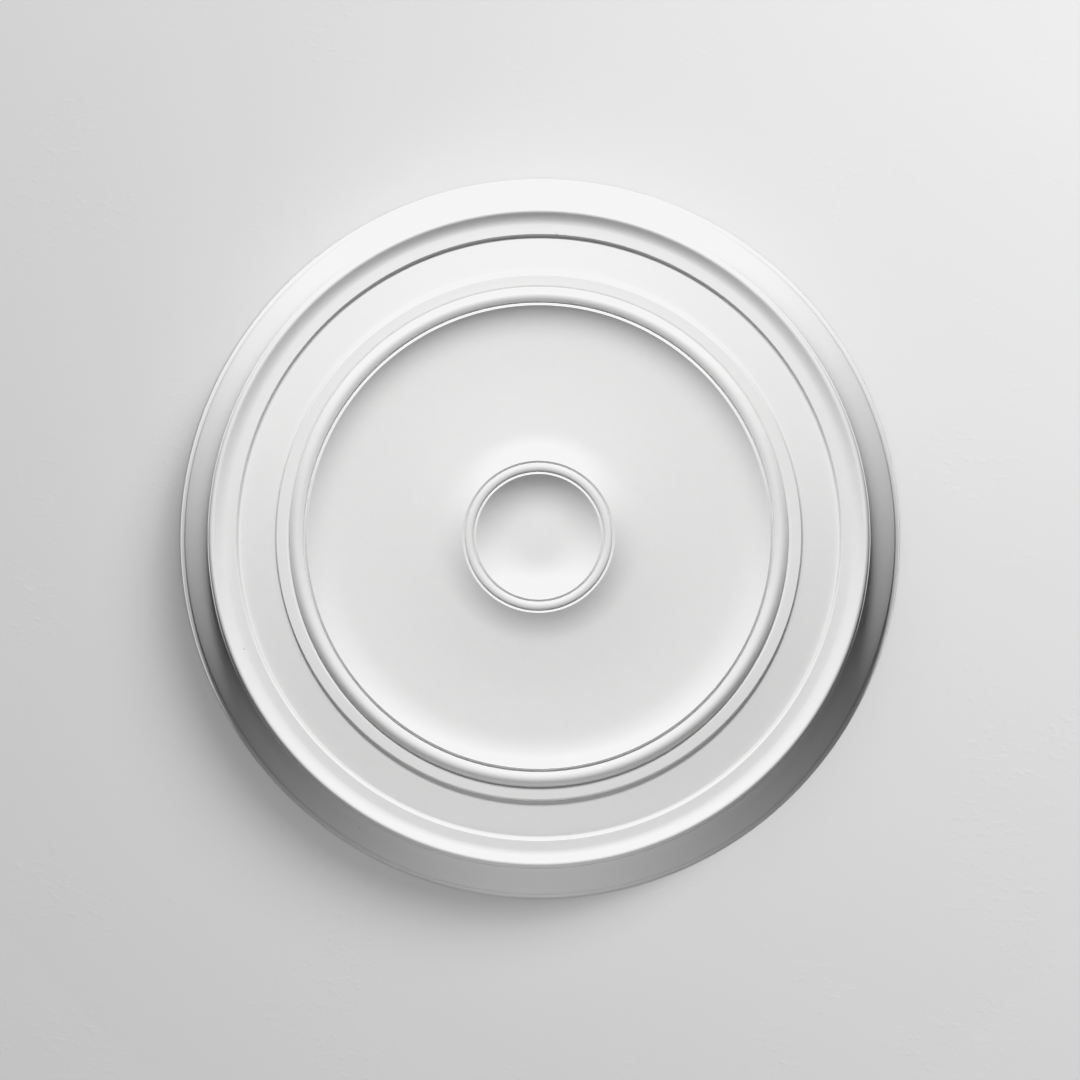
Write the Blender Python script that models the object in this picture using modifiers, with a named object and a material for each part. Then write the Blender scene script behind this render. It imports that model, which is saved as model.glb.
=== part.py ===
"""A round ceiling rose: one plaster casting with ring mouldings, a shallow dished panel and a small centre ring.

Sizes are in metres. The rose stands as it is seen: +Z is up, the face looks along -Y, and the flat back lies in
the plane y = 0 with the origin at its centre. The section is drawn from the rim in to the axis and then turned.
"""

import math

import bpy

NAME = "ceiling_rose"
OUTER_RADIUS = 0.300
TURN_STEPS = 72

# Thin rim against the ceiling, with a narrow flat edge, and the bevel and low riser behind it
RIM_THICKNESS = 0.0012
RIM_ARRIS = 0.0004
RIM_EDGE_WIDTH = 0.0009
RIM_BEVEL_WIDTH = 0.0025
RIM_BEVEL_RISE = 0.0022
RIM_RISER_WIDTH = 0.0010
RIM_RISER_HEIGHT = 0.0034

# Deep cove that carries the face forward, hollow side outwards
COVE_WIDTH = 0.0201
COVE_HEIGHT = 0.0356
COVE_FOOT_SLOPE = math.radians(56)
COVE_HEAD_SLOPE = math.radians(84)
COVE_STEPS = 7

# Hairline quirk between the cove and the rounded nosing
QUIRK_WIDTH = 0.0008
QUIRK_HEIGHT = 0.0002

# Nosing with a tight crest, and the sweep that falls away behind it
NOSING_WIDTH = 0.0029
NOSING_HEIGHT = 0.0042
NOSING_CREST_SLOPE = math.radians(12)
NOSING_STEPS = 4
NOSING_BACK_WIDTH = 0.0020
NOSING_BACK_DROP = 0.0005
NOSING_BACK_STEPS = 2
SWEEP_WIDTH = 0.0098
SWEEP_DROP = 0.0038
SWEEP_SLOPE = math.radians(33)
SWEEP_STEPS = 3

# Narrow band inside the sweep, and the sharp little riser down to the frieze
BAND_WIDTH = 0.0079
BAND_RISE = 0.0007
RISER_WIDTH = 0.0018
RISER_DROP = 0.0022
RISER_TOE_WIDTH = 0.0022
RISER_TOE_DROP = 0.0004
RISER_TOE_SLOPE = math.radians(24)
RISER_TOE_STEPS = 2

# Broad plain frieze, slightly conical
FRIEZE_WIDTH = 0.0281
FRIEZE_RISE = 0.0050
FRIEZE_SLOPE = math.atan2(FRIEZE_RISE, FRIEZE_WIDTH)

# Small steep step up to a narrow fillet
STEP_TOE_WIDTH = 0.0009
STEP_TOE_RISE = 0.0004
STEP_FACE_WIDTH = 0.0012
STEP_FACE_RISE = 0.0027
FILLET_WIDTH = 0.0084
FILLET_RISE = 0.0007

# Bead on a low upright wall, steeper on its outer side than on the inner one
BEAD_QUIRK_WIDTH = 0.0019
BEAD_QUIRK_DEPTH = 0.0004
BEAD_WALL_WIDTH = 0.0005
BEAD_WALL_RISE = 0.0012
BEAD_FRONT_WIDTH = 0.0064
BEAD_FRONT_RISE = 0.0042
BEAD_FRONT_SLOPE = math.radians(54)
BEAD_FRONT_STEPS = 5
BEAD_BACK_WIDTH = 0.0048
BEAD_BACK_DROP = 0.0015
BEAD_BACK_SLOPE = math.radians(30)
BEAD_BACK_STEPS = 3

# Narrow groove inside the bead, and the arris at the panel's edge
BEAD_GROOVE_WIDTH = 0.0009
BEAD_GROOVE_DROP = 0.0016
ARRIS_WIDTH = 0.0024
ARRIS_RISE = 0.0025

# Dished panel: it curls up to the bead outside and flares up to the centre ring inside
PANEL_CURL_WIDTH = 0.0347
PANEL_CURL_HEIGHT = 0.0078
PANEL_CURL_POWER = 3.3
PANEL_CURL_STEPS = 4
PANEL_RISE = 0.0056
PANEL_RISE_POWER = 2
FLARE_WIDTH = 0.0250
FLARE_HEIGHT = 0.0052
FLARE_POWER = 2.1
PANEL_STEPS = 3
FLARE_STEPS = 4

# Centre ring: a small bead between two thin arrises
RING_OUTER_RADIUS = 0.0632
RING_QUIRK_WIDTH = 0.0021
RING_QUIRK_DEPTH = 0.0011
RING_BEAD_WIDTH = 0.0069
RING_BEAD_BULGE = 0.0019
RING_BEAD_STEPS = 4

# Centre dish, level in the middle, where a lamp's cable or hook comes through
DISH_DEPTH = 0.0116
DISH_POWER = 2.5
DISH_FLAT_RADIUS = 0.0160
DISH_STEPS = 5

PLASTER_COLOUR = (0.84, 0.84, 0.835, 1.0)
PLASTER_ROUGHNESS = 0.62

# Where a bend's handles end, as a share of its chord: close to a round arc for these angles
BEND_PULL = 0.36
SHARP_EDGE = math.radians(28)


class Section:
    """The rose's section as points of radius and height above the back, drawn from the rim inwards."""

    def __init__(self, radius):
        self.points = [(radius, 0.0)]

    def line(self, inward, forward):
        """Adds a straight run."""
        radius, height = self.points[-1]
        self.points.append((radius - inward, height + forward))

    def bend(self, inward, forward, first_slope, last_slope, steps):
        """Adds a curve that leaves at one slope and arrives at the other, as angles from the ceiling's plane."""
        radius, height = self.points[-1]
        pull = BEND_PULL * math.hypot(inward, forward)
        leave = (pull * math.cos(first_slope), pull * math.sin(first_slope))
        arrive = (inward - pull * math.cos(last_slope), forward - pull * math.sin(last_slope))
        for step in range(1, steps + 1):
            t = step / steps
            first, second, last = 3 * t * (1 - t) ** 2, 3 * t * t * (1 - t), t**3
            along = first * leave[0] + second * arrive[0] + last * inward
            up = first * leave[1] + second * arrive[1] + last * forward
            self.points.append((radius - along, height + up))

    def bead(self, width, bulge, steps):
        """Adds a half-round that ends at the height where it began."""
        radius, height = self.points[-1]
        for step in range(1, steps + 1):
            turn = math.pi * step / steps
            share = (1 - math.cos(turn)) / 2
            self.points.append((radius - width * share, height + bulge * math.sin(turn)))

    def follow(self, end_radius, base, shape, steps):
        """Adds a curve in to end_radius, where shape gives the height over base at each radius."""
        radius = self.points[-1][0]
        for step in range(1, steps + 1):
            here = radius + (end_radius - radius) * step / steps
            self.points.append((here, base + shape(here)))


def draw_rim(section):
    """The thin edge, its bevel and riser, and the deep cove."""
    section.line(0.0, RIM_THICKNESS - RIM_ARRIS)
    section.line(RIM_ARRIS, RIM_ARRIS)
    section.line(RIM_EDGE_WIDTH - RIM_ARRIS, 0.0)
    section.line(RIM_BEVEL_WIDTH, RIM_BEVEL_RISE)
    section.line(RIM_RISER_WIDTH, RIM_RISER_HEIGHT)
    section.bend(COVE_WIDTH, COVE_HEIGHT, COVE_FOOT_SLOPE, COVE_HEAD_SLOPE, COVE_STEPS)
    section.line(QUIRK_WIDTH, QUIRK_HEIGHT)


def draw_nosing(section):
    """The nosing, the sweep behind it, and the riser down to the frieze."""
    section.bend(NOSING_WIDTH, NOSING_HEIGHT, COVE_HEAD_SLOPE, NOSING_CREST_SLOPE, NOSING_STEPS)
    section.bend(NOSING_BACK_WIDTH, -NOSING_BACK_DROP, 0.0, -SWEEP_SLOPE, NOSING_BACK_STEPS)
    section.bend(SWEEP_WIDTH, -SWEEP_DROP, -SWEEP_SLOPE, 0.0, SWEEP_STEPS)
    section.line(BAND_WIDTH, BAND_RISE)
    section.line(RISER_WIDTH, -RISER_DROP)
    section.bend(RISER_TOE_WIDTH, -RISER_TOE_DROP, -RISER_TOE_SLOPE, FRIEZE_SLOPE, RISER_TOE_STEPS)


def draw_frieze(section):
    """The plain frieze, the steep step, and the narrow fillet above it."""
    section.line(FRIEZE_WIDTH, FRIEZE_RISE)
    section.line(STEP_TOE_WIDTH, STEP_TOE_RISE)
    section.line(STEP_FACE_WIDTH, STEP_FACE_RISE)
    section.line(FILLET_WIDTH, FILLET_RISE)


def draw_bead(section):
    """The shallow quirk, the bead on its low wall, and the groove and arris at the panel's edge."""
    section.line(BEAD_QUIRK_WIDTH, -BEAD_QUIRK_DEPTH)
    section.line(BEAD_WALL_WIDTH, BEAD_WALL_RISE)
    section.bend(BEAD_FRONT_WIDTH, BEAD_FRONT_RISE, BEAD_FRONT_SLOPE, 0.0, BEAD_FRONT_STEPS)
    section.bend(BEAD_BACK_WIDTH, -BEAD_BACK_DROP, 0.0, -BEAD_BACK_SLOPE, BEAD_BACK_STEPS)
    section.line(BEAD_GROOVE_WIDTH, -BEAD_GROOVE_DROP)
    section.line(ARRIS_WIDTH, ARRIS_RISE)


def draw_panel(section):
    """The dished panel, down from the bead's arris to its lowest circle and up to the centre ring."""
    edge, top = section.points[-1]
    lowest = edge - PANEL_CURL_WIDTH
    floor = top - PANEL_CURL_HEIGHT
    across = lowest - RING_OUTER_RADIUS
    flare = min(FLARE_WIDTH, across)

    def curl(radius):
        share = (radius - lowest) / PANEL_CURL_WIDTH
        return PANEL_CURL_HEIGHT * share**PANEL_CURL_POWER

    def climb(radius):
        gentle = PANEL_RISE * ((lowest - radius) / across) ** PANEL_RISE_POWER
        near = max(0.0, RING_OUTER_RADIUS + flare - radius) / flare
        return gentle + FLARE_HEIGHT * near**FLARE_POWER

    section.follow(lowest, floor, curl, PANEL_CURL_STEPS)
    section.follow(RING_OUTER_RADIUS + flare, floor, climb, PANEL_STEPS)
    section.follow(RING_OUTER_RADIUS, floor, climb, FLARE_STEPS)


def draw_centre(section):
    """The centre ring and the dish inside it, in to the axis."""
    section.line(RING_QUIRK_WIDTH, -RING_QUIRK_DEPTH)
    section.bead(RING_BEAD_WIDTH, RING_BEAD_BULGE, RING_BEAD_STEPS)
    section.line(RING_QUIRK_WIDTH, RING_QUIRK_DEPTH)
    rim, top = section.points[-1]
    floor = top - DISH_DEPTH

    def hollow(radius):
        share = (radius - DISH_FLAT_RADIUS) / (rim - DISH_FLAT_RADIUS)
        return DISH_DEPTH * share**DISH_POWER

    section.follow(DISH_FLAT_RADIUS, floor, hollow, DISH_STEPS)
    section.points.append((0.0, floor))


def rose_section():
    """All points of the section, from the middle of the face out over the rim and in along the flat back."""
    section = Section(OUTER_RADIUS)
    draw_rim(section)
    draw_nosing(section)
    draw_frieze(section)
    draw_bead(section)
    draw_panel(section)
    draw_centre(section)
    return section.points[::-1] + [(0.0, 0.0)]


def turned_mesh(name, points):
    """Turns a section about the Z axis into one closed mesh, smooth but for its arrises."""
    outline = bpy.data.meshes.new(name + "_section")
    edges = [(i, i + 1) for i in range(len(points) - 1)]
    outline.from_pydata([(radius, 0.0, height) for radius, height in points], edges, [])
    turner = bpy.data.objects.new(name + "_section", outline)
    bpy.context.scene.collection.objects.link(turner)
    screw = turner.modifiers.new("turn", "SCREW")
    screw.axis = "Z"
    screw.angle = 2 * math.pi
    screw.steps = TURN_STEPS
    screw.render_steps = TURN_STEPS
    screw.use_merge_vertices = True
    screw.merge_threshold = 0.00001
    graph = bpy.context.evaluated_depsgraph_get()
    mesh = bpy.data.meshes.new_from_object(turner.evaluated_get(graph))
    mesh.name = name
    bpy.data.objects.remove(turner)
    bpy.data.meshes.remove(outline)
    mesh.shade_smooth()
    mesh.set_sharp_from_angle(angle=SHARP_EDGE)
    return mesh


def painted_plaster():
    """White matt paint on cast plaster."""
    material = bpy.data.materials.new("painted_plaster")
    material.use_nodes = True
    shader = material.node_tree.nodes["Principled BSDF"]
    shader.inputs["Base Color"].default_value = PLASTER_COLOUR
    shader.inputs["Roughness"].default_value = PLASTER_ROUGHNESS
    shader.inputs["Metallic"].default_value = 0.0
    return material


def main():
    for old in list(bpy.data.objects):
        bpy.data.objects.remove(old)
    group = bpy.data.collections.new(NAME)
    bpy.context.scene.collection.children.link(group)
    mesh = turned_mesh(NAME, rose_section())
    mesh.materials.append(painted_plaster())
    rose = bpy.data.objects.new(NAME, mesh)
    # The section's height becomes the distance that the face stands off the ceiling
    rose.rotation_euler = (math.pi / 2, 0.0, 0.0)
    group.objects.link(rose)


main()
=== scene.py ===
"""A round plaster ceiling rose, seen straight on against the plain surface that it is fixed to.

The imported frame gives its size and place: +Z is up, the face looks along -Y, and the flat back lies in the
plane y = 0. One casting stands for the frame's faceted solid. It has the same section, drawn finer and with
eased arrises, and a Geometry Nodes tree turns it. Sizes are in metres.
"""

import logging
import math
from collections.abc import Callable
from dataclasses import dataclass, field
from enum import Enum
from typing import Any, Protocol

import bpy
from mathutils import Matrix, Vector


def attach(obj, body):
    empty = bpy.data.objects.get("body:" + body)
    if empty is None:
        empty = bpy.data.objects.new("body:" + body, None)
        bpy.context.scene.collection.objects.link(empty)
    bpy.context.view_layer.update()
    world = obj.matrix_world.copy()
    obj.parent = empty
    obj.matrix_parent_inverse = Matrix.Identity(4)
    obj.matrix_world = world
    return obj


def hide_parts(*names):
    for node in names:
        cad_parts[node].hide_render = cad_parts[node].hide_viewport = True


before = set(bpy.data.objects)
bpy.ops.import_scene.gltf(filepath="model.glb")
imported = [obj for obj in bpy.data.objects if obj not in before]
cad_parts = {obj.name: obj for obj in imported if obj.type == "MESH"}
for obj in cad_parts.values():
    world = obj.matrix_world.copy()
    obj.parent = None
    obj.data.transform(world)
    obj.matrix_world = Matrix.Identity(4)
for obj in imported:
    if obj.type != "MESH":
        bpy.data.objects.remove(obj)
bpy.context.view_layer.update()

Colour = tuple[float, float, float]
Point = tuple[float, float, float]

NODE = "ceiling_rose"
SLOT = "painted_plaster"

# The middle value of a noise pattern.
NOISE_MIDDLE = 0.5
# Factors that take a place straight back to the plane of the face.
ONTO_FACE_PLANE = (1.0, 0.0, 1.0)
# The number of the curve that bends red, green and blue together.
COMBINED_CURVE = 3

log = logging.getLogger("ceiling_rose")


def opaque(colour: Colour) -> tuple[float, float, float, float]:
    """The colour with a full fourth channel, as sockets take it."""
    return (*colour, 1.0)


def on_face(azimuth: float, radius: float) -> Point:
    """The place in the plane of the face at an azimuth in degrees, clockwise from the top, and a radius."""
    turn = math.radians(azimuth)
    return (radius * math.sin(turn), 0.0, radius * math.cos(turn))


class Signal:
    """A number in a node tree. Used in an expression, it adds the Math nodes that the expression needs."""

    def __init__(self, bench: "Bench", socket: bpy.types.NodeSocket) -> None:
        """Wraps one output socket of the bench's tree."""
        self.bench = bench
        self.socket = socket

    def _math(self, operation: str, first: Any, second: Any = None) -> "Signal":
        """Adds one Math node.

        Args:
            operation: The node's operation.
            first: Its first value, a number or a Signal.
            second: Its second value, where the operation takes one.

        Returns:
            The node's result.
        """
        values = {0: first} if second is None else {0: first, 1: second}
        node = self.bench.add("ShaderNodeMath", {"operation": operation}, values)
        return Signal(self.bench, node.outputs[0])

    def __add__(self, other: Any) -> "Signal":
        """Self plus other."""
        return self._math("ADD", self, other)

    __radd__ = __add__

    def __sub__(self, other: Any) -> "Signal":
        """Self minus other."""
        return self._math("SUBTRACT", self, other)

    def __rsub__(self, other: Any) -> "Signal":
        """Other minus self."""
        return self._math("SUBTRACT", other, self)

    def __mul__(self, other: Any) -> "Signal":
        """Self times other."""
        return self._math("MULTIPLY", self, other)

    def __truediv__(self, other: Any) -> "Signal":
        """Self over other."""
        return self._math("DIVIDE", self, other)

    def __abs__(self) -> "Signal":
        """Self without its sign."""
        return self._math("ABSOLUTE", self)

    def floor(self) -> "Signal":
        """The whole number below self."""
        return self._math("FLOOR", self)

    def sine(self) -> "Signal":
        """The sine of self in radians."""
        return self._math("SINE", self)

    def cosine(self) -> "Signal":
        """The cosine of self in radians."""
        return self._math("COSINE", self)

    def rise(self, low: float, high: float) -> "Signal":
        """A smooth step from 0 where self is at low to 1 where it is at high.

        Args:
            low: Where the step starts.
            high: Where it ends.

        Returns:
            The step, kept between 0 and 1.
        """
        node = self.bench.add(
            "ShaderNodeMapRange",
            {"interpolation_type": "SMOOTHSTEP"},
            {"Value": self, "From Min": low, "From Max": high},
        )
        return Signal(self.bench, node.outputs["Result"])


def total(signals: list[Signal]) -> Signal:
    """The sum of one or more signals."""
    return sum(signals[1:], signals[0])


@dataclass(frozen=True)
class Cloud:
    """A noise pattern: its scale in clouds a metre, how many finer layers it has and how strong they are."""

    scale: float
    detail: float
    roughness: float = 0.5


class Bench:
    """Makes the nodes of one tree, for a material or for geometry."""

    def __init__(self, tree: bpy.types.NodeTree) -> None:
        """Takes the tree that the nodes go into."""
        self.tree = tree

    def add(self, kind: str, settings: dict[str, Any], sockets: dict[str | int, Any]) -> bpy.types.Node:
        """Makes any node.

        Args:
            kind: The node's type.
            settings: Its settings, which are set first because they decide its sockets.
            sockets: Values or links by socket name or number.

        Returns:
            The new node.
        """
        node = self.tree.nodes.new(kind)
        for name, value in settings.items():
            setattr(node, name, value)
        for name, value in sockets.items():
            if isinstance(value, Signal):
                value = value.socket
            if isinstance(value, bpy.types.NodeSocket):
                self.tree.links.new(value, node.inputs[name])
            else:
                node.inputs[name].default_value = value
        return node

    def signal(self, node: bpy.types.Node, output: str | int = 0) -> Signal:
        """One output of a node as a number."""
        return Signal(self, node.outputs[output])

    def vector(self, operation: str, first: Any, second: Any = None) -> bpy.types.Node:
        """A Vector Math node of one or two inputs."""
        values = {0: first} if second is None else {0: first, 1: second}
        return self.add("ShaderNodeVectorMath", {"operation": operation}, values)

    def stretched(self, place: Any, factors: Point) -> bpy.types.NodeSocket:
        """Coordinates times one factor an axis."""
        return self.vector("MULTIPLY", place, factors).outputs[0]

    def noise(self, place: Any, cloud: Cloud) -> Signal:
        """Adds a cloud pattern.

        Args:
            place: The coordinates that it is read at.
            cloud: The pattern's scale and layers.

        Returns:
            The pattern from 0 to 1, with NOISE_MIDDLE in the middle.
        """
        sockets = {
            "Vector": place,
            "Scale": cloud.scale,
            "Detail": cloud.detail,
            "Roughness": cloud.roughness,
        }
        return self.signal(self.add("ShaderNodeTexNoise", {"noise_dimensions": "3D"}, sockets))

    def blend(self, share: Any, first: Any, second: Any) -> bpy.types.NodeSocket:
        """Mixes two colours.

        Args:
            share: How much of the second colour shows, from 0 to 1.
            first: The colour where the share is 0.
            second: The colour where it is 1.

        Returns:
            The mixed colour's socket.
        """
        node = self.add("ShaderNodeMix", {"data_type": "RGBA"}, {0: share, 6: first, 7: second})
        return node.outputs[2]

    def dress(self, shader: bpy.types.Node, colour: Any, rough: Any, relief: Signal) -> None:
        """Fills a shader's inputs.

        Args:
            shader: The shader node.
            colour: Its colour, a socket.
            rough: Its roughness, a number or a Signal.
            relief: The height of its fine relief, in metres.
        """
        bump = self.add("ShaderNodeBump", {}, {"Strength": 1.0, "Distance": 1.0, "Height": relief})
        self.tree.links.new(colour, shader.inputs["Base Color"])
        self.tree.links.new(bump.outputs[0], shader.inputs["Normal"])
        if isinstance(rough, Signal):
            self.tree.links.new(rough.socket, shader.inputs["Roughness"])
        else:
            shader.inputs["Roughness"].default_value = rough


def new_material(name: str) -> tuple[bpy.types.Material, Bench, bpy.types.Node]:
    """Starts a material.

    Args:
        name: The material's name.

    Returns:
        The material, a bench for its tree, and its shader node.
    """
    material = bpy.data.materials.new(name)
    material.use_nodes = True
    return material, Bench(material.node_tree), material.node_tree.nodes["Principled BSDF"]


@dataclass(frozen=True)
class SmallMark:
    """A small pit or speck in the face: its azimuth and radius there, its own radius and its depth."""

    azimuth: float
    radius: float
    size: float
    depth: float


@dataclass(frozen=True)
class PaintedPlaster:
    """Smooth matt white paint on cast plaster, with painted shade along the quirks, left bare on the back
    that lies against the ceiling.
    """

    paint: Colour = (0.825, 0.825, 0.822)
    thin_paint: Colour = (0.795, 0.795, 0.792)
    # A darker colour: painted shade along the quirks, and the dirt of the small marks.
    shade_and_dirt: Colour = (0.60, 0.597, 0.587)
    bare: Colour = (0.70, 0.69, 0.665)
    bare_dark: Colour = (0.62, 0.605, 0.575)
    specular: float = 0.42
    roughness: float = 0.60
    roughness_drift: float = 0.10
    bare_roughness: float = 0.86
    bare_edge: tuple[float, float] = (-0.0006, -0.0001)
    broad_cloud: Cloud = Cloud(7.0, 3.0)
    swell_cloud: Cloud = Cloud(48.0, 4.0)
    mottle_cloud: Cloud = Cloud(150.0, 2.0)
    grain_cloud: Cloud = Cloud(620.0, 2.0)
    broad_cover: float = 0.3
    swell_cover: float = 0.25
    mottle_cover: float = 0.9
    cover_offset: float = -0.225
    grain_height: float = 0.000004
    run_height: float = 0.000003
    run_scale: float = 310.0
    run_drift: float = 0.8
    run_detail: float = 2.0
    swell_height: float = 0.000025
    mottle_height: float = 0.000006
    cove_mottle_height: float = 0.00005
    cove_edge: tuple[float, float] = (0.2735, 0.2775)
    bare_height: float = 0.00025
    float_stretch: tuple[float, float, float] = (1.0, 1.0, 6.0)
    float_cloud: Cloud = Cloud(11.0, 5.0, 0.6)
    pore_depth: float = 0.0006
    pore_scale: float = 85.0
    pore_edge: tuple[float, float] = (0.06, 0.14)
    patch_cloud: Cloud = Cloud(21.0, 2.0)
    patch_edge: tuple[float, float] = (0.50, 0.62)
    # Rings of painted shade along the quirks: their radii, half width, core share and strength.
    shaded_quirk_rings: tuple[float, ...] = (0.2964, 0.2503, 0.2192, 0.2077, 0.1951, 0.0611, 0.0542)
    quirk_shade_reach: float = 0.0011
    quirk_shade_core: float = 0.3
    quirk_shade_share: float = 0.50
    mark_core: float = 0.35
    mark_dirt: float = 0.35
    marks: tuple[SmallMark, ...] = (
        SmallMark(249.1, 0.2622, 0.0011, 0.00030),
        SmallMark(246.6, 0.2605, 0.0008, 0.00015),
        SmallMark(3.4, 0.2519, 0.0012, 0.00025),
        SmallMark(4.9, 0.2523, 0.0009, 0.00020),
        SmallMark(212.0, 0.2840, 0.0013, 0.00018),
        SmallMark(128.5, 0.2310, 0.0008, 0.00012),
    )

    def material(self) -> bpy.types.Material:
        """Makes the finish.

        Returns:
            The material, patterned on the piece's own coordinates.
        """
        material, bench, shader = new_material(SLOT)
        place = bench.add("ShaderNodeTexCoord", {}, {}).outputs["Object"]
        flat = bench.stretched(place, ONTO_FACE_PLANE)
        radius = bench.signal(bench.vector("LENGTH", flat), "Value")
        depth = bench.signal(bench.add("ShaderNodeSeparateXYZ", {}, {0: place}), "Y")
        behind = depth.rise(*self.bare_edge)
        broad = bench.noise(place, self.broad_cloud)
        swell = bench.noise(place, self.swell_cloud)
        mottle = bench.noise(place, self.mottle_cloud)
        grain = bench.noise(place, self.grain_cloud)
        spots, pits = self._small_marks(bench, flat)
        float_marks, pores = self._bare_relief(bench, place)

        cover = broad * self.broad_cover + swell * self.swell_cover + mottle * self.mottle_cover
        painted = bench.blend(cover + self.cover_offset, opaque(self.thin_paint), opaque(self.paint))
        # Painted shade along the quirks, mixed with the dirt of the small marks.
        shade_and_dirt = self._quirk_shade(radius) * self.quirk_shade_share * (swell + NOISE_MIDDLE)
        shaded_and_dirty = (shade_and_dirt + spots * self.mark_dirt) * (1 - behind)
        front = bench.blend(shaded_and_dirty, painted, opaque(self.shade_and_dirt))
        back = bench.blend(float_marks, opaque(self.bare_dark), opaque(self.bare))

        drift = (swell - NOISE_MIDDLE) * self.roughness_drift + (broad - NOISE_MIDDLE) * self.roughness_drift
        rough = (self.roughness + drift) * (1 - behind) + behind * self.bare_roughness

        runs = self._run_marks(bench, radius, broad)
        in_cove = radius.rise(*self.cove_edge)
        mottled = mottle * (in_cove * self.cove_mottle_height + self.mottle_height)
        smooth = grain * self.grain_height + runs * self.run_height + swell * self.swell_height + mottled
        floated = float_marks * self.bare_height - pores * self.pore_depth
        relief = (smooth - pits) * (1 - behind) + floated * behind

        shader.inputs["Specular IOR Level"].default_value = self.specular
        bench.dress(shader, bench.blend(behind, front, back), rough, relief)
        return material

    def _small_marks(self, bench: Bench, flat: Any) -> tuple[Signal, Signal]:
        """All small marks together.

        Args:
            bench: The bench of the material's tree.
            flat: Each point's place in the plane of the face.

        Returns:
            How much of a mark is there, from 0 to 1, and how deep it is.
        """
        spots, pits = [], []
        for mark in self.marks:
            away = bench.signal(bench.vector("DISTANCE", flat, on_face(mark.azimuth, mark.radius)), "Value")
            spot = 1 - away.rise(mark.size * self.mark_core, mark.size)
            spots.append(spot)
            pits.append(spot * mark.depth)
        return total(spots), total(pits)

    def _quirk_shade(self, radius: Signal) -> Signal:
        """Painted shade along the quirks, from 0 to 1."""
        core = self.quirk_shade_reach * self.quirk_shade_core
        return total([1 - abs(radius - ring).rise(core, self.quirk_shade_reach) for ring in self.shaded_quirk_rings])

    def _run_marks(self, bench: Bench, radius: Signal, drift: Signal) -> Signal:
        """Very faint rings that the running mould leaves, slightly broken."""
        where = radius * self.run_scale + drift * self.run_drift
        sockets = {"W": where, "Scale": 1.0, "Detail": self.run_detail}
        return bench.signal(bench.add("ShaderNodeTexNoise", {"noise_dimensions": "1D"}, sockets))

    def _bare_relief(self, bench: Bench, place: Any) -> tuple[Signal, Signal]:
        """The struck-off back.

        Args:
            bench: The bench of the material's tree.
            place: The piece's own coordinates.

        Returns:
            The marks of the float from 0 to 1, and the pores from 0 to 1.
        """
        float_marks = bench.noise(bench.stretched(place, self.float_stretch), self.float_cloud)
        sockets = {"Vector": place, "Scale": self.pore_scale, "Randomness": 1.0}
        cells = bench.add("ShaderNodeTexVoronoi", {}, sockets)
        pores = 1 - bench.signal(cells, "Distance").rise(*self.pore_edge)
        patches = bench.noise(place, self.patch_cloud).rise(*self.patch_edge)
        return float_marks, pores * patches


@dataclass(frozen=True)
class FloatedPaint:
    """Pale matt paint on a floated surface, for the stage."""

    name: str
    light: Colour
    dark: Colour
    trowel_height: float
    roughness: float = 0.8
    broad_cloud: Cloud = Cloud(2.6, 4.0, 0.55)
    fine_cloud: Cloud = Cloud(55.0, 5.0, 0.6)
    fine_tone: float = 0.3
    fine_relief: float = 0.6
    trowel_stretch: tuple[float, float, float] = (1.0, 1.0, 1.7)
    trowel_cloud: Cloud = Cloud(95.0, 2.0)
    trowel_edge: tuple[float, float] = (0.52, 0.68)
    patch_cloud: Cloud = Cloud(9.0, 2.0)
    patch_edge: tuple[float, float] = (0.45, 0.65)

    def material(self) -> bpy.types.Material:
        """Makes the finish.

        Returns:
            The material, with broad clouds of tone and faint trowel marks.
        """
        material, bench, shader = new_material(self.name)
        place = bench.add("ShaderNodeTexCoord", {}, {}).outputs["Object"]
        broad = bench.noise(place, self.broad_cloud)
        fine = bench.noise(place, self.fine_cloud)
        strokes = bench.noise(bench.stretched(place, self.trowel_stretch), self.trowel_cloud)
        patches = bench.noise(place, self.patch_cloud).rise(*self.patch_edge)
        trowel = strokes.rise(*self.trowel_edge) * patches
        tone = broad * (1 - self.fine_tone) + fine * self.fine_tone
        relief = trowel * self.trowel_height + fine * self.trowel_height * self.fine_relief
        colour = bench.blend(tone, opaque(self.dark), opaque(self.light))
        bench.dress(shader, colour, self.roughness, relief)
        return material


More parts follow.
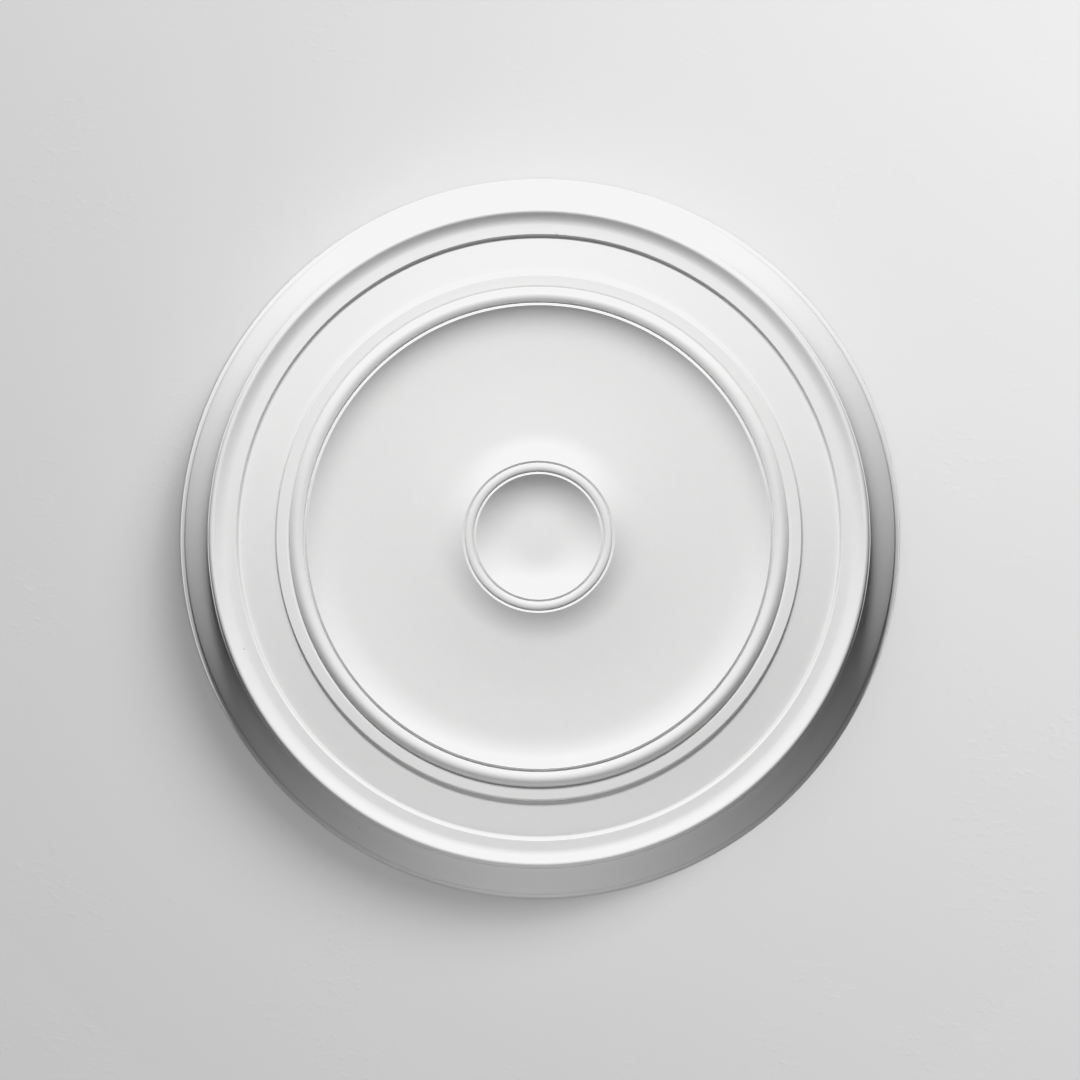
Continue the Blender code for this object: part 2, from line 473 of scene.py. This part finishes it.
class Section:
    """A section as points of radius and height above the back, drawn from the rim inwards.

    Attributes:
        CURVE_PULL: How far the handles of a bend reach, as a share of its chord.
        SLIGHT_TURN: The least turn that counts as an arris.
        SLIGHT_TURN_STEPS: How many runs round it.
        WIDE_TURN: The turn above which an arris gets one run more.
        WIDE_TURN_STEPS: How many runs round it then.
        MOST_OF_RUN_CUT: The largest share of a run that one arris takes.
        SUPPORTED_RUN: The shortest run that is divided, in arris radii.
    """

    CURVE_PULL = 0.36
    SLIGHT_TURN = math.radians(14)
    SLIGHT_TURN_STEPS = 3
    WIDE_TURN = math.radians(40)
    WIDE_TURN_STEPS = 4
    MOST_OF_RUN_CUT = 0.42
    SUPPORTED_RUN = 3

    def __init__(self, first: tuple[float, float]) -> None:
        """Starts the section at its first point."""
        self.points = [Vector(first)]

    def line(self, inward: float, forward: float) -> None:
        """Adds a straight run."""
        self.points.append(self.points[-1] + Vector((-inward, forward)))

    def bend(self, run: tuple[float, float], slopes: tuple[float, float], steps: int) -> None:
        """Adds a curve that leaves at one slope and arrives at the other.

        Args:
            run: How far it goes inwards and forwards.
            slopes: Its first and last slope from the ceiling's plane, in degrees.
            steps: How many short runs it is made of.
        """
        start = self.points[-1]
        inward, forward = run
        pull = self.CURVE_PULL * math.hypot(inward, forward)
        first, last = (math.radians(slope) for slope in slopes)
        leave = Vector((pull * math.cos(first), pull * math.sin(first)))
        arrive = Vector((inward - pull * math.cos(last), forward - pull * math.sin(last)))
        for step in range(1, steps + 1):
            t = step / steps
            along = 3 * t * (1 - t) ** 2 * leave + 3 * t * t * (1 - t) * arrive + t**3 * Vector(run)
            self.points.append(start + Vector((-along.x, along.y)))

    def bead(self, width: float, bulge: float, steps: int) -> None:
        """Adds a half-round that ends at the height where it began.

        Args:
            width: How far it goes inwards.
            bulge: How far its crest stands forward.
            steps: How many short runs it is made of.
        """
        start = self.points[-1]
        for step in range(1, steps + 1):
            turn = math.pi * step / steps
            self.points.append(start + Vector((-width * (1 - math.cos(turn)) / 2, bulge * math.sin(turn))))

    def follow(self, end: float, height: Callable[[float], float], steps: int) -> None:
        """Adds a curve in to a radius.

        Args:
            end: The radius where it ends.
            height: Gives the height at each radius.
            steps: How many short runs it is made of.
        """
        start = self.points[-1].x
        for step in range(1, steps + 1):
            radius = start + (end - start) * step / steps
            self.points.append(Vector((radius, height(radius))))

    def eased(self, arris: float, longest: float) -> list[Vector]:
        """Rounds the arrises and divides long runs, so that smooth shading stays true on the flats.

        Args:
            arris: The radius of a rounded arris.
            longest: The longest run that is left whole.

        Returns:
            The points of the finished section.
        """
        marked = [(self.points[0], False)]
        for before, here, after in zip(self.points, self.points[1:], self.points[2:]):
            marked.extend(self._arris(before, here, after, arris))
        marked.append((self.points[-1], False))
        out = [marked[0][0]]
        for (start, starts_flat), (end, ends_flat) in zip(marked, marked[1:]):
            out.extend(self._run(start, starts_flat, end, ends_flat, arris, longest))
        return out

    def _arris(
        self, before: Vector, here: Vector, after: Vector, radius: float
    ) -> list[tuple[Vector, bool]]:
        """Rounds one point if the section turns sharply there.

        Args:
            before: The point before it.
            here: The point itself.
            after: The point after it.
            radius: The radius to round it to.

        Returns:
            The points that take its place, each with whether a flat run begins or ends there.
        """
        back, ahead = before - here, after - here
        turn = math.pi - back.angle(ahead)
        if turn < self.SLIGHT_TURN:
            return [(here, False)]
        room = self.MOST_OF_RUN_CUT * min(back.length, ahead.length)
        cut = min(radius * math.tan(turn / 2), room)
        start, end = here + back.normalized() * cut, here + ahead.normalized() * cut
        steps = self.WIDE_TURN_STEPS if turn > self.WIDE_TURN else self.SLIGHT_TURN_STEPS
        arc = []
        for step in range(steps + 1):
            t = step / steps
            point = (1 - t) ** 2 * start + 2 * t * (1 - t) * here + t * t * end
            arc.append((point, step in (0, steps)))
        return arc

    def _run(
        self, start: Vector, starts_flat: bool, end: Vector, ends_flat: bool, support: float, longest: float
    ) -> list[Vector]:
        """Divides one run.

        Args:
            start: Where the run begins.
            starts_flat: Whether an arris ends there.
            end: Where the run ends.
            ends_flat: Whether an arris begins there.
            support: How far from an arris the next point stands.
            longest: The longest run that is left whole.

        Returns:
            The run's points after its start.
        """
        length = (end - start).length
        if length < self.SUPPORTED_RUN * support:
            return [end]
        inner_start = start.lerp(end, support / length) if starts_flat else start
        inner_end = end.lerp(start, support / length) if ends_flat else end
        points = [inner_start] if starts_flat else []
        count = math.ceil((inner_end - inner_start).length / longest)
        points.extend(inner_start.lerp(inner_end, step / count) for step in range(1, count + 1))
        return points + ([end] if ends_flat else [])


class Moulding(Protocol):
    """A part of the rose that draws its own stretch of the section."""

    def draw(self, section: Section) -> None:
        """Adds the moulding's stretch to the section.

        Args:
            section: The section drawn so far.
        """


@dataclass(frozen=True)
class RimAndCove:
    """The thin rim on the ceiling, its bevel and riser, and the deep cove that carries the face forward."""

    thickness: float = 0.0012
    arris: float = 0.0004
    edge_width: float = 0.0009
    bevel_width: float = 0.0025
    bevel_rise: float = 0.0022
    riser_width: float = 0.0010
    riser_height: float = 0.0034
    cove_width: float = 0.0201
    cove_height: float = 0.0356
    foot_slope: float = 56.0
    head_slope: float = 84.0
    cove_steps: int = 26
    quirk_width: float = 0.0008
    quirk_height: float = 0.0002

    def draw(self, section: Section) -> None:
        """Adds the rim, the cove and the hairline quirk above it.

        Args:
            section: The section drawn so far.
        """
        section.line(0.0, self.thickness - self.arris)
        section.line(self.arris, self.arris)
        section.line(self.edge_width - self.arris, 0.0)
        section.line(self.bevel_width, self.bevel_rise)
        section.line(self.riser_width, self.riser_height)
        cove, slopes = (self.cove_width, self.cove_height), (self.foot_slope, self.head_slope)
        section.bend(cove, slopes, self.cove_steps)
        section.line(self.quirk_width, self.quirk_height)


@dataclass(frozen=True)
class Nosing:
    """The nosing with its tight crest, the sweep behind it, the band and the sharp little riser."""

    width: float = 0.0029
    height: float = 0.0042
    foot_slope: float = 84.0
    crest_slope: float = 12.0
    back_width: float = 0.0020
    back_drop: float = 0.0005
    sweep_width: float = 0.0098
    sweep_drop: float = 0.0038
    sweep_slope: float = -33.0
    band_width: float = 0.0079
    band_rise: float = 0.0007
    riser_width: float = 0.0018
    riser_drop: float = 0.0022
    toe_width: float = 0.0022
    toe_drop: float = 0.0004
    toe_slope: float = -24.0
    frieze_slope: float = 10.1
    long_steps: int = 12
    short_steps: int = 6

    def draw(self, section: Section) -> None:
        """Adds the nosing, the sweep, the band and the riser down to the frieze.

        Args:
            section: The section drawn so far.
        """
        section.bend((self.width, self.height), (self.foot_slope, self.crest_slope), self.long_steps)
        section.bend((self.back_width, -self.back_drop), (0.0, self.sweep_slope), self.short_steps)
        section.bend((self.sweep_width, -self.sweep_drop), (self.sweep_slope, 0.0), self.long_steps)
        section.line(self.band_width, self.band_rise)
        section.line(self.riser_width, -self.riser_drop)
        toe, slopes = (self.toe_width, -self.toe_drop), (self.toe_slope, self.frieze_slope)
        section.bend(toe, slopes, self.short_steps)


@dataclass(frozen=True)
class Frieze:
    """The broad plain frieze, slightly conical, and the small steep step up to its fillet."""

    width: float = 0.0281
    rise: float = 0.0050
    toe_width: float = 0.0009
    toe_rise: float = 0.0004
    face_width: float = 0.0012
    face_rise: float = 0.0027
    fillet_width: float = 0.0084
    fillet_rise: float = 0.0007

    def draw(self, section: Section) -> None:
        """Adds the frieze, the step and the fillet.

        Args:
            section: The section drawn so far.
        """
        section.line(self.width, self.rise)
        section.line(self.toe_width, self.toe_rise)
        section.line(self.face_width, self.face_rise)
        section.line(self.fillet_width, self.fillet_rise)


@dataclass(frozen=True)
class Bead:
    """The bead on its low wall, steeper outside than inside, and the groove and arris at the panel's edge."""

    quirk_width: float = 0.0019
    quirk_depth: float = 0.0004
    wall_width: float = 0.0005
    wall_rise: float = 0.0012
    front_width: float = 0.0064
    front_rise: float = 0.0042
    front_slope: float = 54.0
    back_width: float = 0.0048
    back_drop: float = 0.0015
    back_slope: float = -30.0
    groove_width: float = 0.0009
    groove_drop: float = 0.0016
    arris_width: float = 0.0024
    arris_rise: float = 0.0025
    front_steps: int = 16
    back_steps: int = 10

    def draw(self, section: Section) -> None:
        """Adds the quirk, the bead, the groove and the arris.

        Args:
            section: The section drawn so far.
        """
        section.line(self.quirk_width, -self.quirk_depth)
        section.line(self.wall_width, self.wall_rise)
        section.bend((self.front_width, self.front_rise), (self.front_slope, 0.0), self.front_steps)
        section.bend((self.back_width, -self.back_drop), (0.0, self.back_slope), self.back_steps)
        section.line(self.groove_width, -self.groove_drop)
        section.line(self.arris_width, self.arris_rise)


@dataclass(frozen=True)
class DishedPanel:
    """The broad panel, which curls up to the bead outside and flares up to the centre ring inside."""

    curl_width: float = 0.0347
    curl_height: float = 0.0078
    curl_power: float = 3.3
    rise: float = 0.0056
    rise_power: float = 2.0
    flare_width: float = 0.0250
    flare_height: float = 0.0052
    flare_power: float = 2.1
    inner_radius: float = 0.0632
    curl_steps: int = 20
    rise_steps: int = 18
    flare_steps: int = 15

    def draw(self, section: Section) -> None:
        """Adds the panel, down to its lowest circle and up to the centre ring.

        Args:
            section: The section drawn so far.
        """
        edge, top = section.points[-1]
        lowest = edge - self.curl_width
        floor = top - self.curl_height
        across = lowest - self.inner_radius

        def curl(radius: float) -> float:
            """Height outside the lowest circle."""
            return floor + self.curl_height * ((radius - lowest) / self.curl_width) ** self.curl_power

        def climb(radius: float) -> float:
            """Height inside the lowest circle."""
            gentle = self.rise * ((lowest - radius) / across) ** self.rise_power
            near = max(0.0, self.inner_radius + self.flare_width - radius) / self.flare_width
            return floor + gentle + self.flare_height * near**self.flare_power

        section.follow(lowest, curl, self.curl_steps)
        section.follow(self.inner_radius + self.flare_width, climb, self.rise_steps)
        section.follow(self.inner_radius, climb, self.flare_steps)


@dataclass(frozen=True)
class CentreRing:
    """The small centre ring of a bead between two arrises, and the dish that a lamp hangs from."""

    quirk_width: float = 0.0021
    quirk_depth: float = 0.0011
    bead_width: float = 0.0069
    bead_bulge: float = 0.0019
    dish_depth: float = 0.0116
    dish_power: float = 2.5
    flat_radius: float = 0.0160
    bead_steps: int = 20
    dish_steps: int = 18

    def draw(self, section: Section) -> None:
        """Adds the ring and the dish, in to the axis.

        Args:
            section: The section drawn so far.
        """
        section.line(self.quirk_width, -self.quirk_depth)
        section.bead(self.bead_width, self.bead_bulge, self.bead_steps)
        section.line(self.quirk_width, self.quirk_depth)
        rim, top = section.points[-1]
        floor = top - self.dish_depth

        def hollow(radius: float) -> float:
            """Height of the dish."""
            share = (radius - self.flat_radius) / (rim - self.flat_radius)
            return floor + self.dish_depth * share**self.dish_power

        section.follow(self.flat_radius, hollow, self.dish_steps)
        section.line(self.flat_radius, 0.0)


@dataclass(frozen=True)
class TurningTree:
    """A Geometry Nodes tree that turns a section about the Y axis into one closed mesh."""

    turn_steps: int = 288
    wave_height: float = 0.00007
    wave_scale: float = 13.0
    wave_detail: float = 1.0
    waves_start: float = 0.007
    waves_full: float = 0.014
    seed: int = 11
    merge_distance: float = 0.000002

    def turn(self, piece: bpy.types.Object, finish: bpy.types.Material) -> None:
        """Turns a piece whose mesh is a section, and leaves it with the plain result.

        Args:
            piece: The piece, with radius along X and height along Z in its mesh.
            finish: The material of the turned mesh.
        """
        tree = self._tree()
        modifier = piece.modifiers.new("turn", "NODES")
        modifier.node_group = tree
        values = {
            "Turn steps": self.turn_steps,
            "Wave height": self.wave_height,
            "Wave scale": self.wave_scale,
            "Seed": self.seed,
            "Merge distance": self.merge_distance,
            "Finish": finish,
        }
        for item in tree.interface.items_tree:
            if item.item_type == "SOCKET" and item.in_out == "INPUT" and item.name in values:
                modifier[item.identifier] = values[item.name]
        graph = bpy.context.evaluated_depsgraph_get()
        mesh = bpy.data.meshes.new_from_object(piece.evaluated_get(graph))
        mesh.name = piece.name
        outline = piece.data
        piece.modifiers.remove(modifier)
        piece.data = mesh
        bpy.data.meshes.remove(outline)

    def _tree(self) -> bpy.types.NodeTree:
        """Builds the tree.

        Returns:
            The node group, with a named input for each size.
        """
        tree = bpy.data.node_groups.new("turned_casting", "GeometryNodeTree")
        sockets = (
            ("Section", "NodeSocketGeometry"),
            ("Turn steps", "NodeSocketInt"),
            ("Wave height", "NodeSocketFloat"),
            ("Wave scale", "NodeSocketFloat"),
            ("Seed", "NodeSocketInt"),
            ("Merge distance", "NodeSocketFloat"),
            ("Finish", "NodeSocketMaterial"),
        )
        for name, kind in sockets:
            tree.interface.new_socket(name, in_out="INPUT", socket_type=kind)
        tree.interface.new_socket("Casting", in_out="OUTPUT", socket_type="NodeSocketGeometry")
        bench = Bench(tree)
        given = bench.add("NodeGroupInput", {}, {}).outputs
        steps = Signal(bench, given["Turn steps"])
        counted = bench.add("GeometryNodeAttributeDomainSize", {}, {0: given["Section"]})
        size = {"Vertices X": counted.outputs["Point Count"], "Vertices Y": steps + 1}
        grid = bench.add("GeometryNodeMeshGrid", {}, size)
        index = bench.signal(bench.add("GeometryNodeInputIndex", {}, {}))
        ring = ((index + 0.5) / (steps + 1)).floor()
        angle = (index - ring * (steps + 1)) / steps * math.tau
        drawn = bench.add("GeometryNodeInputPosition", {}, {}).outputs[0]
        sampled = bench.add(
            "GeometryNodeSampleIndex",
            {"data_type": "FLOAT_VECTOR", "domain": "POINT"},
            {"Geometry": given["Section"], "Value": drawn, "Index": ring},
        )
        parts = bench.add("ShaderNodeSeparateXYZ", {}, {0: sampled.outputs[0]})
        radius, height = bench.signal(parts, "X"), bench.signal(parts, "Z")
        across, up = radius * angle.sine(), radius * angle.cosine()
        dip = self._dip(bench, given, across, up) * height.rise(self.waves_start, self.waves_full)
        place = bench.add("ShaderNodeCombineXYZ", {}, {"X": across, "Y": dip - height, "Z": up})
        turned = grid.outputs[0]
        for kind, extra in (
            ("GeometryNodeSetPosition", {"Position": place.outputs[0]}),
            ("GeometryNodeMergeByDistance", {"Distance": given["Merge distance"]}),
            ("GeometryNodeSetShadeSmooth", {}),
            ("GeometryNodeRealizeInstances", {}),
            ("GeometryNodeSetMaterial", {"Material": given["Finish"]}),
        ):
            turned = bench.add(kind, {}, {"Geometry": turned, **extra}).outputs[0]
        bench.add("NodeGroupOutput", {}, {0: turned})
        return tree

    def _dip(self, bench: Bench, given: Any, across: Signal, up: Signal) -> Signal:
        """How far the hand-run surface lies behind its true form, which it never passes.

        Args:
            bench: The bench of the tree.
            given: The tree's inputs.
            across: Each point's place along X.
            up: Each point's place along Z.

        Returns:
            The dip at each point.
        """
        spot = bench.add("ShaderNodeCombineXYZ", {}, {"X": across, "Z": up})
        sockets = {
            "Vector": spot.outputs[0],
            "W": given["Seed"],
            "Scale": given["Wave scale"],
            "Detail": self.wave_detail,
        }
        waves = bench.add("ShaderNodeTexNoise", {"noise_dimensions": "4D"}, sockets)
        return bench.signal(waves) * Signal(bench, given["Wave height"])


@dataclass(frozen=True)
class CeilingRose:
    """The casting: one turned piece, from the flat back over the rim to the dish in the middle."""

    outer_radius: float = 0.300
    back_rings: tuple[float, ...] = (0.0, 0.030, 0.090, 0.150, 0.210, 0.280)
    arris_radius: float = 0.00032
    longest_run: float = 0.0042
    mouldings: tuple[Moulding, ...] = (RimAndCove(), Nosing(), Frieze(), Bead(), DishedPanel(), CentreRing())
    turning: TurningTree = field(default_factory=TurningTree)
    finish: PaintedPlaster = field(default_factory=PaintedPlaster)

    def build(self) -> bpy.types.Object:
        """Makes the casting and hands it to the frame.

        Returns:
            The finished piece.
        """
        outline = bpy.data.meshes.new("rose_section")
        points = self._section()
        edges = [(start, start + 1) for start in range(len(points) - 1)]
        outline.from_pydata([(point.x, 0.0, point.y) for point in points], edges, [])
        piece = bpy.data.objects.new("rose_casting", outline)
        bpy.context.scene.collection.objects.link(piece)
        self.turning.turn(piece, self.finish.material())
        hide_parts(NODE)
        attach(piece, "root")
        return piece

    def _section(self) -> list[Vector]:
        """The whole section.

        Returns:
            Its points, from the middle of the back out to the rim and in to the middle of the face.
        """
        section = Section((self.back_rings[-1], 0.0))
        section.line(self.back_rings[-1] - self.outer_radius, 0.0)
        for moulding in self.mouldings:
            moulding.draw(section)
        back = [Vector((radius, 0.0)) for radius in self.back_rings[:-1]]
        return back + section.eased(self.arris_radius, self.longest_run)


@dataclass(frozen=True)
class Ceiling:
    """The plain surface that the rose is fixed to, open behind the rose so that its back can be seen."""

    half_width: float = 4.0
    open_radius: float = 0.292
    behind: float = 0.0004
    steps: int = 160
    finish: FloatedPaint = FloatedPaint("floated_wall", (0.765, 0.765, 0.765), (0.735, 0.735, 0.735), 0.00008)

    def build(self) -> bpy.types.Object:
        """Makes the surface as one ring of faces between a round opening and a square edge.

        Returns:
            The backdrop.
        """
        points = []
        for step in range(self.steps):
            turn = math.tau * step / self.steps
            side, up = math.sin(turn), math.cos(turn)
            reach = self.half_width / max(abs(side), abs(up))
            points.append((self.open_radius * side, self.behind, self.open_radius * up))
            points.append((reach * side, self.behind, reach * up))
        count = len(points)
        faces = [(at, (at + 2) % count, (at + 3) % count, at + 1) for at in range(0, count, 2)]
        return stage_object("backdrop", points, faces, self.finish)


@dataclass(frozen=True)
class Floor:
    """The plain pale floor, well below the rose."""

    half_width: float = 4.0
    depth: float = 8.0
    level: float = -3.2
    finish: FloatedPaint = FloatedPaint("pale_floor", (0.78, 0.78, 0.775), (0.74, 0.74, 0.735), 0.00003)

    def build(self) -> bpy.types.Object:
        """Makes the floor.

        Returns:
            The floor.
        """
        corners = ((-1, 0.0), (1, 0.0), (1, self.depth), (-1, self.depth))
        points = [(side * self.half_width, -far, self.level) for side, far in corners]
        return stage_object("floor", points, [(0, 3, 2, 1)], self.finish)


def stage_object(
    name: str, points: list[Point], faces: list[tuple[int, ...]], finish: FloatedPaint
) -> bpy.types.Object:
    """Makes one object of the stage, which bounces no light onto the rose.

    Args:
        name: The object's name.
        points: The corners of its mesh.
        faces: The faces of its mesh.
        finish: Its finish.

    Returns:
        The object.
    """
    mesh = bpy.data.meshes.new(name)
    mesh.from_pydata(points, [], faces)
    mesh.materials.append(finish.material())
    made = bpy.data.objects.new(name, mesh)
    made.visible_diffuse = False
    bpy.context.scene.collection.objects.link(made)
    return made


class Lit(Enum):
    """What a light falls on."""

    ROSE = "rose"
    STAGE = "stage"
    ALL = "all"


@dataclass(frozen=True)
class SoftLight:
    """A round soft light that faces the middle of the rose."""

    name: str
    falls_on: Lit
    azimuth: float
    off_axis: float
    distance: float
    width: float
    power: float

    def build(self, receivers: dict[Lit, bpy.types.Collection]) -> None:
        """Makes the light.

        Args:
            receivers: The collections that a light can be kept to.
        """
        turn, lean = math.radians(self.azimuth), math.radians(self.off_axis)
        side, up = math.sin(turn) * math.sin(lean), math.cos(turn) * math.sin(lean)
        place = self.distance * Vector((side, -math.cos(lean), up))
        lamp = bpy.data.lights.new(self.name, "AREA")
        lamp.shape = "DISK"
        lamp.size = self.width
        lamp.energy = self.power
        made = bpy.data.objects.new(self.name, lamp)
        made.location = place
        made.rotation_euler = (-place).to_track_quat("-Z", "Y").to_euler()
        made.visible_camera = False
        bpy.context.scene.collection.objects.link(made)
        if self.falls_on in receivers:
            made.light_linking.receiver_collection = receivers[self.falls_on]


LIGHTS = (
    SoftLight("key", Lit.ROSE, -2.0, 54.0, 6.0, 1.0, 464.0),
    SoftLight("key_inner", Lit.ROSE, -2.0, 30.0, 6.0, 1.0, 36.0),
    SoftLight("low", Lit.ROSE, 180.0, 72.0, 1.4, 0.5, 1.8),
    SoftLight("low_near", Lit.ROSE, 180.0, 75.0, 0.78, 0.3, 0.93),
    SoftLight("wall_key_outer", Lit.STAGE, 45.0, 60.0, 3.0, 1.0, 33.1),
    SoftLight("wall_key_middle", Lit.STAGE, 45.0, 52.0, 3.0, 1.0, 10.5),
    SoftLight("wall_key_inner", Lit.STAGE, 45.0, 45.0, 3.0, 1.0, 26.6),
    SoftLight("wall_fill", Lit.STAGE, 0.0, 0.0, 3.0, 12.0, 202.0),
    SoftLight("back_key", Lit.ALL, -40.0, 140.0, 6.0, 2.0, 420.0),
)


@dataclass(frozen=True)
class Studio:
    """The lights and the pale surroundings, which light nothing themselves."""

    lights: tuple[SoftLight, ...] = LIGHTS
    surroundings: Colour = (0.74, 0.74, 0.74)

    def build(self, rose: bpy.types.Object, stage: list[bpy.types.Object]) -> None:
        """Lights the rose and the stage each in its own way.

        Args:
            rose: The casting.
            stage: The objects of the stage.
        """
        receivers = {Lit.ROSE: self._group("lit_rose", [rose]), Lit.STAGE: self._group("lit_stage", stage)}
        for light in self.lights:
            light.build(receivers)
        world = bpy.data.worlds.new("surroundings")
        world.use_nodes = True
        world.node_tree.nodes["Background"].inputs["Color"].default_value = opaque(self.surroundings)
        world.cycles_visibility.diffuse = False
        world.cycles_visibility.glossy = False
        bpy.context.scene.world = world

    def _group(self, name: str, members: list[bpy.types.Object]) -> bpy.types.Collection:
        """Gathers objects for the lights to be kept to.

        Args:
            name: The collection's name.
            members: The objects.

        Returns:
            The collection.
        """
        group = bpy.data.collections.new(name)
        for member in members:
            group.objects.link(member)
        return group


@dataclass(frozen=True)
class PhotoCamera:
    """A long lens nearly on the rose's axis, slightly low and to the right."""

    place: Point = (0.234, -12.0, -0.365)
    aim: Point = (0.00008, 0.0, -0.0011)
    frame_width: float = 0.9
    sensor: float = 36.0
    reach: float = 100.0
    shoulder: tuple[tuple[float, float], ...] = ((0.80, 0.80), (1.0, 0.92), (1.25, 0.985))
    brightest: tuple[float, float] = (1.6, 1.0)

    def build(self) -> None:
        """Makes the camera and gives the scene a plain view of its colours, with soft highlights."""
        camera = bpy.data.cameras.new("photo_camera")
        camera.sensor_width = self.sensor
        camera.lens = self.sensor * -self.place[1] / self.frame_width
        camera.clip_end = self.reach
        made = bpy.data.objects.new("photo_camera", camera)
        place = Vector(self.place)
        made.location = place
        made.rotation_euler = (Vector(self.aim) - place).to_track_quat("-Z", "Y").to_euler()
        scene = bpy.context.scene
        scene.collection.objects.link(made)
        scene.camera = made
        scene.view_settings.view_transform = "Standard"
        scene.view_settings.look = "None"
        self._soften_highlights(scene.view_settings)

    def _soften_highlights(self, view: bpy.types.ColorManagedViewSettings) -> None:
        """Bends the brightest tones over, as a photograph does, and leaves the others alone.

        Args:
            view: The scene's view settings.
        """
        view.use_curve_mapping = True
        mapping = view.curve_mapping
        mapping.use_clip = False
        points = mapping.curves[COMBINED_CURVE].points
        points[-1].location = self.brightest
        for place in self.shoulder:
            points.new(*place)
        black, shoulder_foot = list(points)[:2]
        black.handle_type = "VECTOR"
        shoulder_foot.handle_type = "VECTOR"
        mapping.update()


def main() -> None:
    """Builds the rose, the stage, the lights and the camera, and reports the piece."""
    logging.basicConfig(level=logging.INFO, format="%(name)s: %(message)s")
    casting = CeilingRose().build()
    log.info("%s: %d faces", casting.name, len(casting.data.polygons))
    stage = [Ceiling().build(), Floor().build()]
    Studio().build(casting, stage)
    PhotoCamera().build()


if __name__ == "__main__":
    main()
